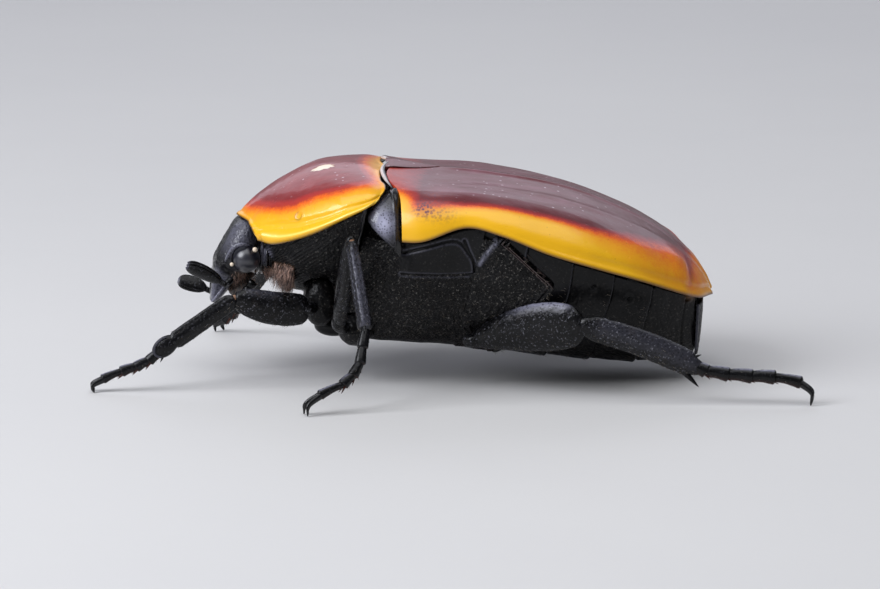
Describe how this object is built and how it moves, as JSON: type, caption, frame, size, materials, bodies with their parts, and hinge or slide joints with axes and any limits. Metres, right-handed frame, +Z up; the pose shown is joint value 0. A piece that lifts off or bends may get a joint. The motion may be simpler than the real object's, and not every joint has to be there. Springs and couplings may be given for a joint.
{
  "type": "flower beetle, Pachnoda marginata aurantia",
  "caption": "Life-size flower beetle standing on its feet, with a maroon back edged in yellow and a black underside and legs.",
  "frame": {"origin": "centre of the bottom of the bounding box, on the floor between the feet", "axes": "+X from the head to the tail, -Y to the beetle's left, +Z up from the floor"},
  "size_m": [0.0358, 0.0222, 0.0109],
  "materials": {
    "patterned_cuticle": "glossy maroon cuticle with a yellow border",
    "black_cuticle": "glossy black cuticle, pitted and wrinkled",
    "leg_cuticle": "black cuticle with small pits and bristles",
    "eye": "very glossy black",
    "mouth": "brown membrane with tan hair"
  },
  "bodies": {
    "root": {"head": "black_cuticle", "mesepimeron_left": "black_cuticle", "mesepimeron_right": "black_cuticle", "prothorax": "black_cuticle", "thorax": "black_cuticle", "abdomen": "black_cuticle", "pygidium": "black_cuticle", "coxa_front_left": "black_cuticle", "coxa_front_right": "black_cuticle", "coxa_middle_left": "black_cuticle", "coxa_middle_right": "black_cuticle", "coxa_hind_left": "black_cuticle", "coxa_hind_right": "black_cuticle", "femur_front_left": "leg_cuticle", "tibia_front_left": "leg_cuticle", "tarsus_front_left": "leg_cuticle", "femur_front_right": "leg_cuticle", "tibia_front_right": "leg_cuticle", "tarsus_front_right": "leg_cuticle", "femur_middle_left": "leg_cuticle", "tibia_middle_left": "leg_cuticle", "tarsus_middle_left": "leg_cuticle", "femur_middle_right": "leg_cuticle", "tibia_middle_right": "leg_cuticle", "tarsus_middle_right": "leg_cuticle", "femur_hind_left": "leg_cuticle", "tibia_hind_left": "leg_cuticle", "tarsus_hind_left": "leg_cuticle", "femur_hind_right": "leg_cuticle", "tibia_hind_right": "leg_cuticle", "tarsus_hind_right": "leg_cuticle", "antenna_left": "leg_cuticle", "antenna_right": "leg_cuticle", "palp_left": "leg_cuticle", "palp_right": "leg_cuticle", "elytron_left": "patterned_cuticle", "elytron_right": "patterned_cuticle", "pronotum": "patterned_cuticle", "scutellum": "patterned_cuticle", "eye_left": "eye", "eye_right": "eye", "mouthparts": "mouth"}
  },
  "joints": []
}
